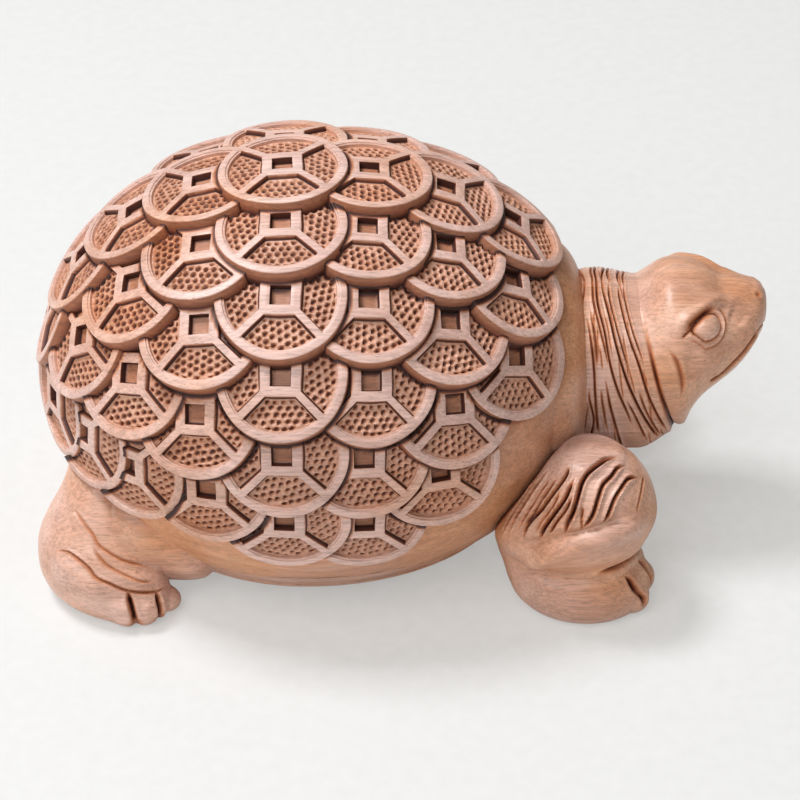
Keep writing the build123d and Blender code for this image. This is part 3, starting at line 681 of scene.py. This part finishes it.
def head_surface(turn, station):
    """Round sections along the snout, leaning back at the neck and upright from the eyes on; the
    crown swells over the eyes, falls to the neck and dips before the nose."""
    rise, radius = np.moveaxis(through(station, HEAD_SECTIONS[:, 0], HEAD_SECTIONS[:, 1:]), -1, 0)
    lean = radians(16.2) * smoothstep(99.0, 84.0, station)
    top = np.maximum(np.cos(turn), 0.0) ** 1.5
    low = np.maximum(-np.cos(turn), 0.0)
    crown = 0.5 * np.exp(-((station - 91.8) / 2.8) ** 2) - 0.7 * np.exp(-((station - 99.5) / 2.6) ** 2)
    radius = radius + top * (crown - 3.0 * smoothstep(90.5, HEAD_START, station))
    jowl = 1.6 * np.exp(-((station - 88.3) / 2.2) ** 2) - 1.2 * smoothstep(86.5, HEAD_START, station)
    radius = radius + low * jowl
    across = radius * np.cos(turn)
    return MIDDLE + np.stack([station - across * np.sin(lean), -radius * np.sin(turn),
                              rise + across * np.cos(lean)], -1)


def on_head(pairs, side):
    """Points on the head's surface at (turn in degrees, station) pairs, on the right or left side."""
    pairs = np.array(pairs, float)
    return head_surface(np.radians(pairs[:, 0]) * side, pairs[:, 1])


run = np.concatenate([np.linspace(HEAD_START, 103.3, 92),
                      HEAD_END - 8.0 * np.linspace(1.0, 0.0, 70)[1:] ** 2])
turn, station = np.meshgrid(np.linspace(0, 2 * np.pi, 300, endpoint=False), run)
base = head_surface(turn, station)
height, dark = np.zeros(turn.shape), np.zeros(turn.shape)
girth = np.hypot(base[..., 1], base[..., 2] - MIDDLE[2] - 9.5)
# Dark marks on the head are painted shade: the eye's rim and lid fold, the creases, the mouth and the
# nostril.
for side in (1, -1):
    across = np.angle(np.exp(1j * (turn * side - EYE_TURN))) * girth / EYE_HEIGHT
    ahead = (station - EYE_STATION) / EYE_LENGTH
    eye = np.hypot(across * (1.0 + 0.7 * smoothstep(-0.2, -1.1, ahead)), ahead)
    lidded = smoothstep(-0.9, 0.3, 0.75 * across + 0.66 * ahead)
    rim = np.exp(-((eye - 1.05) / 0.07) ** 2)
    fold = np.exp(-((eye - 1.6) / 0.09) ** 2) * smoothstep(0.2, 0.8, lidded)
    height += 1.9 * np.clip(1.0 - eye ** 2, 0.0, 1.0) ** 0.6 - (0.45 - 0.3 * lidded) * rim - 0.2 * fold
    height += (0.2 + 0.6 * lidded) * np.exp(-((eye - 1.32) / 0.17) ** 2)
    dark = np.maximum(dark, np.maximum((0.75 - 0.5 * lidded) * rim, 0.25 * fold))
    for pairs, width, rise in ((BROW, 1.5, 1.3), (SNOUT_HOLLOW, 2.0, -0.7), (CHEEK, 3.0, 0.7)):
        height += swelling(base, on_head(pairs, side), width, rise)
    creases = [(EYE_CORNER, 0.34, 0.8, 0.0), (UNDER_BROW, 0.9, 0.9, 0.0), (JOWL, 0.5, 0.45, 0.2)]
    mouth = [(MOUTH, 0.62, 2.0, 0.3), (LIPS, 0.25, 0.5, 0.0)]
    for cuts, fade, shade in ((creases, 0.3, 0.8), (mouth, 0.07, 1.2)):
        change, cut = carved(base, [(on_head(pairs, side), *knife) for pairs, *knife in cuts], fade)
        height, dark = height + change, np.maximum(dark, shade * cut)
    off = np.linalg.norm(base - on_head(NOSTRIL, side)[0], axis=-1)
    height += 0.15 * np.exp(-((off - 1.25) / 0.5) ** 2) - 0.4 * np.exp(-(off / 0.6) ** 2)
    dark = np.maximum(dark, 0.35 * np.exp(-(off / 0.6) ** 2))
# The groove where the head tucks in at the neck is darkened with painted shade.
tuck = smoothstep(85.5, HEAD_START, station) * (0.05 + 1.5 * smoothstep(0.9, 0.2, np.cos(turn)))
points = base + outward(base) * (height - tuck)[..., None]
head = mesh_piece("head_wood", [(points, np.clip(np.maximum(dark, 0.55 * tuck), 0.0, 1.0))])
place(head, limb_wood, "limb_wood", "head")

# Front legs
# Thick bent legs, each from its own block: a wrinkled upper arm over a polished roll at the elbow,
# a flat-soled foot and blunt toes. A slanting dowel holds each to the shell, and the joint is faired.
# Sections as (height, middle x and y, half axes, turn in degrees); lumps as (x, y, height, radius).
FRONT_LEG = np.array([
    (0, 67, -35.2, 12.8, 10.6, -8), (0.7, 66.9, -35.3, 14.4, 11.9, -8),
    (2.5, 66.5, -35.4, 16.1, 13.2, -8), (6, 66, -35.5, 17.3, 14, -8),
    (11, 64.7, -35, 17.5, 13.4, -8), (15.5, 63, -34.4, 17.2, 12.2, -5),
    (22, 63.8, -36, 18.6, 13.8, 0), (28, 65.8, -36.6, 18, 14, 0),
    (33, 67.3, -36.3, 15.8, 13.4, 0), (38, 68, -35.3, 12.8, 11.8, 0),
    (42, 67.8, -34.5, 9, 8.6, 0), (44.5, 67.5, -34, 4.6, 4.6, 0), (45.3, 67.4, -33.9, 0.3, 0.3, 0)])
FRONT_LUMPS = [(78.5, -41, 4.5, 4.3), (80.5, -34, 4.5, 4.3), (78.5, -27, 4.5, 4.3),
               (61, -27, 35, 7)]


def leg_surface(turn, height, sections, lumps):
    """Level ovals stacked up a leg, each with its own middle, half axes and turn; round lumps such as
    toes push the outline out where a ray from the oval's middle meets their sphere."""
    x, y, long, wide, twist = np.moveaxis(through(height, sections[:, 0], sections[:, 1:]), -1, 0)
    twist = np.radians(twist)
    ring = np.stack([long * np.cos(turn), wide * np.sin(turn)], -1)
    reach = np.linalg.norm(ring, axis=-1)
    ray = np.stack([ring[..., 0] * np.cos(twist) - ring[..., 1] * np.sin(twist),
                    ring[..., 0] * np.sin(twist) + ring[..., 1] * np.cos(twist)], -1) / reach[..., None]
    for lx, ly, lz, size in lumps:
        ahead = (lx - x) * ray[..., 0] + (ly - y) * ray[..., 1]
        miss = np.hypot(lx - x, ly - y) ** 2 - ahead ** 2
        half = size ** 2 - (height - lz) ** 2 - miss
        meet = np.where((half > 0) & (ahead > 0), ahead + np.sqrt(np.maximum(half, 0.0)), 0.0)
        joined = 0.5 * (meet + reach + np.sqrt((meet - reach) ** 2 + 0.5))
        reach = np.where(meet > reach - 1.0, joined, reach)
    return np.stack([MIDDLE[0] + x + reach * ray[..., 0], y + reach * ray[..., 1], height + 0.0 * turn], -1)


def above_shell(points):
    """Height of points over the shell's skin, to first order, and the direction straight off it."""
    off = points - MIDDLE
    long = np.where(off[..., 0] > 0, SHELL_FRONT, SHELL_REAR)
    across = np.full(off.shape[:2], SHELL_RADIUS)
    size = np.stack([long, across, across], -1) + SHELL_SKIN
    level = np.linalg.norm(off / size, axis=-1)
    slope = off / size ** 2 / level[..., None]
    steep = np.linalg.norm(slope, axis=-1)
    return (level - 1.0) / steep, slope / steep[..., None]


def faired(points, reach, sink):
    """Eases a limb onto the shell: its height above the shell runs out softly where the two meet,
    like wood pared to a fair curve, then goes just under the shell."""
    above, off = above_shell(points)
    eased = reach * np.logaddexp(0.0, above / reach) - sink
    eased = eased - 0.31 * reach * smoothstep(0.0, -0.9 * reach, above)
    return points + off * (eased - above)[..., None]


def leg_grid(sections, lumps, rows, columns):
    """A leg's surface on a grid with rows evenly spaced along its outline up to the closed top."""
    fine = np.linspace(0.0, sections[-1, 0], 600)
    size = through(fine, sections[:, 0], sections[:, 3])[:, 0]
    run = np.concatenate([[0.0], np.cumsum(np.hypot(np.diff(fine), np.diff(size)))])
    heights = np.interp(np.linspace(0.0, run[-1], rows), run, fine)
    turn, height = np.meshgrid(np.linspace(0, 2 * np.pi, columns, endpoint=False), heights)
    return height, leg_surface(turn, height, sections, lumps)


def with_sole(points, dark):
    """Rings that shrink across the flat sole, put before a leg's first row."""
    middle = points[:1].mean(axis=1, keepdims=True)
    sole = middle + (points[:1] - middle) * np.array([0.3, 0.65, 0.9])[:, None, None]
    sole[..., 2] = 0.0
    points = np.concatenate([sole, points])
    points[..., 2] = np.maximum(points[..., 2], 0.0)
    return points, np.concatenate([np.zeros((3, dark.shape[1])), dark])


def on_leg(pairs, sections, lumps):
    """Points on a leg at (turn in degrees, height) pairs."""
    pairs = np.array(pairs, float)
    return leg_surface(np.radians(pairs[:, 0]), pairs[:, 1], sections, lumps)


# Wrinkles and creases as (turn, height) pairs, then width, depth and lip.
FRONT_CUTS = [
    ([(340, 42), (318, 43.2), (299, 42.5), (281, 41.5), (272, 39.3), (267, 36.1), (260, 32)],
     0.36, 1.5, 0.6),
    ([(340, 39.6), (320, 41), (305, 40.4), (291, 38.9), (283, 36.5), (278, 33)], 0.34, 1.5, 0.6),
    ([(345, 43.8), (305, 44.4), (280, 44.2), (260, 43.4), (252, 42), (249, 39.7), (248, 36.5), (247, 33.4),
      (250, 29.8)], 0.4, 1.8, 0.6),
    ([(238, 42.4), (235, 38.2), (231, 34.3), (230, 31.3), (233, 27.2)], 0.35, 1.5, 0.5),
    ([(243, 39.4), (240, 36), (237, 33.5), (237, 29.8)], 0.26, 0.9, 0.2),
    ([(214, 44.2), (224, 41.3), (220, 38.6), (217, 34.3), (215, 30.5), (220, 25.6)], 0.35, 1.5, 0.5),
    ([(214, 41.6), (211, 37.2), (212, 33), (214, 28.2)], 0.27, 1, 0.25),
    ([(190, 41.8), (193, 36), (197, 31), (205, 24.6)], 0.34, 1.4, 0.45),
    ([(183, 38), (188, 33), (194, 28), (201, 21.5)], 0.3, 1.1, 0.35),
    ([(203, 40.5), (204, 36), (206, 31.5), (211, 26.6)], 0.24, 0.7, 0.2),
    ([(352, 39), (336, 38.4), (322, 36.9), (311, 34.2)], 0.26, 0.5, 0.15),
    ([(262, 32), (258, 34.8), (256, 38)], 0.24, 0.7, 0.15),
    ([(226, 39.5), (226, 36), (224, 32.6), (225, 29)], 0.22, 0.5, 0.1),
    ([(292, 15.2), (306, 16.4), (322, 17.2), (342, 17.2), (372, 16.4), (420, 15.5)], 0.9, 1.5, 0.4),
    ([(320, 14.2), (325, 12), (328, 9.8), (334, 6), (336, 0), (336, -2)], 0.6, 2, 0.3),
    ([(344, 15), (355, 11.8), (362, 8.2), (364, 0), (364, -2)], 0.6, 2, 0.3),
    ([(385, 12.5), (392, 8), (394, 0), (394, -2)], 0.6, 1.6, 0.3),
]
# Soft rolls as pairs, then width, height and fade: the elbow, the crease over it, the wrist.
FRONT_ROLLS = [
    ([(222, 17.6), (242, 21.6), (249, 24.6), (261, 27.4), (278, 29.6), (301, 31), (330, 31.5)],
     2.6, 1.8, 0.2),
    ([(216, 26), (232, 27.4), (250, 30.6), (281, 33.8), (306, 35.2)], 1.1, -1.4, 0.2),
    ([(215, 15.5), (243, 15.2), (262, 14.8), (279, 15), (300, 15.6)], 2.2, -1.4, 0.3),
]


def leg_relief(base, sections, lumps, cuts, fade, rolls):
    """Change of height from a leg's cuts and soft rolls, whose lines lie on it, and painted shade in its
    cuts.
    """
    lines = [(on_leg(pairs, sections, lumps), *knife) for pairs, *knife in cuts]
    height, dark = carved(base, lines, fade)
    for pairs, *roll in rolls:
        height += swelling(base, on_leg(pairs, sections, lumps), *roll)
    return height, dark


def leg_pair(kind, base, level, height, dark):
    """Carves a leg's relief, which dies out at the ground, closes its sole, and makes it and its
    mirror image."""
    points = base + outward(base) * (height * smoothstep(-0.4, 1.0, level))[..., None]
    points, dark = with_sole(points, dark)
    for flank in ("right", "left"):
        form = (points, dark) if flank == "right" else ((points * MIRROR)[:, ::-1], dark[:, ::-1])
        leg = mesh_piece(f"{flank}_{kind}_leg_wood", [form])
        place(leg, limb_wood, "limb_wood", f"{flank}_{kind}_leg")


level, base = leg_grid(FRONT_LEG, FRONT_LUMPS, 160, 268)
above = above_shell(base)[0]
base = faired(base, 0.9, 0.25)
height, dark = leg_relief(base, FRONT_LEG, FRONT_LUMPS, FRONT_CUTS, 0.2, FRONT_ROLLS)
# The cuts and the groove where the leg meets the shell are darkened with painted shade.
leg_pair("front", base, level, height, np.maximum(dark, 0.75 * smoothstep(2.0, 0.2, above)))

# Rear legs
# Shorter haunches folded under the shell's rear, with a heavy foot turned outwards, a crease over
# the foot, long skin folds above it and three blunt toes. Pegged and faired like the front legs.
REAR_LEG = np.array([
    (0, -49, -36, 13.6, 7.2, -28), (0.7, -49.1, -35.9, 14.9, 8.4, -28),
    (2.5, -49.5, -35.7, 16.4, 9.8, -28), (5, -49.7, -35.5, 17.3, 10.9, -28),
    (11, -50.5, -33.8, 16.8, 12.2, -25), (16, -51, -31.2, 15.4, 12.6, -21),
    (21, -50.4, -28.6, 13.4, 12.3, -16), (26, -49, -26, 11.2, 11.3, -8),
    (31, -47.8, -23, 8.6, 8.8, 0), (35, -47, -20.2, 5, 5, 0), (36.2, -46.8, -19.4, 0.3, 0.3, 0)])
# Three toes, then the thigh's skin that runs up to the shell.
REAR_LUMPS = [(-43.5, -44, 4, 4.2), (-38.6, -42.6, 3.8, 4), (-34.8, -39.6, 3.6, 3.5),
              (-38, -26, 19, 14), (-31.5, -27.5, 16, 12)]
REAR_CUTS = [
    ([(236, 16.4), (247, 18.2), (257, 18.8), (268, 18.2), (281, 16.6), (289, 14.7), (300, 13.5), (310, 12.2),
      (322, 11.1), (335, 10.2), (350, 9.4), (372, 8.6)], 0.32, 0.8, 0.3),
    ([(276, 22), (286, 19.8), (297, 17.5), (312, 15.3), (330, 12.9), (356, 11)], 0.3, 0.45, 0.25),
    ([(215, 27.4), (240, 26.4), (262, 24.7), (276, 23.1), (284, 21.6), (298, 19.8), (312, 18), (333, 15.8),
      (352, 13.6)], 0.34, 0.5, 0.25),
    ([(315, 12.4), (316, 9.4), (316, 5), (317, 0), (317, -2)], 0.55, 2.1, 0.3),
    ([(317, 5.8), (317, 0), (317, -6)], 1.3, 1.3, 0),
    ([(345, 10.4), (346, 6.9), (346, 4), (347, 0), (347, -2)], 0.55, 2.1, 0.3),
    ([(346, 5.2), (347, 0), (347, -6)], 1.3, 1.3, 0),
]
REAR_ROLLS = [
    ([(236, 13), (262, 14), (280, 12), (300, 9)], 4, 0.9, 0.25),
    ([(240, 14.6), (258, 16.2), (270, 15.6), (284, 13.4), (300, 10.8)], 1.8, 0.8, 0.25),
    ([(262, 21.4), (280, 19.4), (296, 16.4), (320, 13.6), (345, 12)], 1.5, 0.7, 0.25),
    ([(331, 9.4), (331, 6), (332, 0), (332, -4)], 1.9, 0.9, 0.25),
    ([(303, 9.6), (304, 6), (305, 0), (305, -4)], 2.4, 0.7, 0.25),
]
level, base = leg_grid(REAR_LEG, REAR_LUMPS, 140, 260)
base = faired(base, 4.5, 0.3)
height, dark = leg_relief(base, REAR_LEG, REAR_LUMPS, REAR_CUTS, 0.22, REAR_ROLLS)
# The cuts are darkened with painted shade, less so above the foot.
leg_pair("rear", base, level, height, np.where(level > 9.5, 0.6, 1.0) * dark)

# Tail
# A small pointed tail tucked down under the rear of the shell, with a few shallow rings, pegged and
# glued into the shell.
TAIL_ROOT, TAIL_TIP = np.array([-46.0, 0.0, -22.0]), np.array([-61.5, 0.0, -36.5])
TAIL_RADIUS = 6.0
axis = unit(TAIL_TIP - TAIL_ROOT)
length = np.linalg.norm(TAIL_TIP - TAIL_ROOT)
lean = np.array([axis[2], 0.0, -axis[0]])
sideways = np.array([0.0, 1.0, 0.0])
turn, along = np.meshgrid(np.linspace(0, 2 * np.pi, 96, endpoint=False),
                          np.linspace(-0.5, np.pi / 2 - 0.03, 110))
share = np.sin(along)
rings = 0.2 * np.cos(15.0 * share) * smoothstep(0.35, 0.5, share) * smoothstep(0.98, 0.85, share)
radius = TAIL_RADIUS * np.cos(along) + rings
middle = MIDDLE + TAIL_ROOT + axis * (length * share)[..., None]
points = middle + radius[..., None] * (np.cos(turn)[..., None] * lean + np.sin(turn)[..., None] * sideways)
points = faired(points, 0.9, 0.25)
# The ring grooves are darkened with painted shade.
tail = mesh_piece("tail_wood", [(points, np.clip(-2.5 * rings, 0.0, 1.0))])
place(tail, limb_wood, "limb_wood", "tail")

# Dowels
# Plain turned wooden pegs glued across the joints. They keep the CAD's solids, since they are out of
# sight once the figure is glued up.
dowel_wood = wood_material("dowel_wood", 0.2, 0.5, 0.00008)
for name in ("neck_dowel", "front_leg_dowels", "rear_leg_dowels", "tail_dowel", "belly_dowels"):
    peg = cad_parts[name]
    peg.data.materials.clear()
    peg.data.materials.append(dowel_wood)

# Paper, light and camera
# The figure stands on a sheet of pale paper that curves up behind it, under two soft window lights
# from the left and the front. The paper's own glow is shown to the camera alone.
paper = bpy.data.materials.new("pale_paper")
paper.use_nodes = True
nodes, links = paper.node_tree.nodes, paper.node_tree.links
noise, ramp, mix, math = node_tools(paper.node_tree)
tone = ramp(noise((260.0, 260.0, 260.0), 6.0, 0.5), (0.3, (0.83, 0.825, 0.80)), (0.7, (0.89, 0.885, 0.865)))
seen = nodes.new("ShaderNodeLightPath").outputs["Is Camera Ray"]
surface = nodes["Principled BSDF"]
links.new(mix("MIX", seen, tone, (0.365, 0.37, 0.37, 1.0)), surface.inputs["Base Color"])
links.new(tone, surface.inputs["Emission Color"])
links.new(math("MULTIPLY", seen, 0.46), surface.inputs["Emission Strength"])
surface.inputs["Roughness"].default_value = 0.9
PAPER_HALF, PAPER_NEAR, PAPER_FAR, PAPER_BEND, PAPER_TOP = 2.5, -1.6, 0.9, 0.5, 1.8
paper_mesh = bpy.data.meshes.new("paper_sheet")
flat = np.linspace(PAPER_NEAR, PAPER_FAR, 6)
bend = np.linspace(0.08, np.pi / 2, 24)
curve = np.stack([PAPER_FAR + PAPER_BEND * np.sin(bend), PAPER_BEND - PAPER_BEND * np.cos(bend)], -1)
back_wall = [[PAPER_FAR + PAPER_BEND, 2 * PAPER_BEND], [PAPER_FAR + PAPER_BEND, PAPER_TOP]]
run = np.concatenate([np.stack([flat, 0.0 * flat], -1), curve, back_wall])
grid = np.empty((len(run), 2, 3))
grid[..., 0] = (-PAPER_HALF, PAPER_HALF)
grid[..., 1:] = run[:, None]
quads = 2 * np.arange(len(run) - 1)[:, None] + np.array([0, 1, 3, 2])
paper_mesh.from_pydata(grid.reshape(-1, 3).tolist(), [], quads.tolist())
paper_mesh.polygons.foreach_set("use_smooth", np.ones(len(quads), dtype=bool))
paper_mesh.materials.append(paper)
sheet = bpy.data.objects.new("paper_sheet", paper_mesh)
bpy.context.collection.objects.link(sheet)

world = bpy.data.worlds.new("soft_room")
bpy.context.scene.world = world
world.use_nodes = True
background = world.node_tree.nodes["Background"]
background.inputs["Color"].default_value = (1.0, 0.945, 0.87, 1.0)
background.inputs["Strength"].default_value = 0.22


def facing(aim):
    """Euler turn that points a lamp or camera along a direction, its top kept up."""
    return Vector(aim).to_track_quat("-Z", "Y").to_euler()


def soft_lamp(name, place_at, aim_at, size, power, colour):
    """A square area lamp at a point, turned to face another."""
    light = bpy.data.lights.new(name, "AREA")
    light.size, light.energy, light.color = size, power, colour
    lamp = bpy.data.objects.new(name, light)
    lamp.location = place_at
    lamp.rotation_euler = facing(unit(np.array(aim_at) - np.array(place_at)))
    bpy.context.collection.objects.link(lamp)


FIGURE = (0.0, 0.0, 0.04)
soft_lamp("window_light", (-0.42, 0.1, 1.0), FIGURE, 0.3, 9.8, (0.985, 0.988, 1.0))
soft_lamp("front_window", (-0.42, -0.72, 0.98), FIGURE, 0.9, 9.2, (0.985, 0.99, 1.0))

# The camera fitted to the photo: angles round the shell's middle, distance, and the point looked at.
ELEVATION, AZIMUTH, DISTANCE = radians(36.42), radians(1.95), 640.0
LOOK_RIGHT, LOOK_DOWN = 22.2, 10.4
back = np.array([np.sin(AZIMUTH) * np.cos(ELEVATION), -np.cos(AZIMUTH) * np.cos(ELEVATION),
                 np.sin(ELEVATION)])
right = np.array([np.cos(AZIMUTH), np.sin(AZIMUTH), 0.0])
up = np.cross(back, right)
eye_at = (MIDDLE + DISTANCE * back) * MM
look_at = (MIDDLE + LOOK_RIGHT * right - LOOK_DOWN * up) * MM
view = bpy.data.cameras.new("view")
view.lens, view.sensor_width = 116.8, 36.0
view.clip_start = 0.01
camera = bpy.data.objects.new("view", view)
camera.location = eye_at
camera.rotation_euler = facing(unit(look_at - eye_at))
bpy.context.collection.objects.link(camera)
bpy.context.scene.camera = camera
bpy.context.scene.view_settings.view_transform = "Standard"
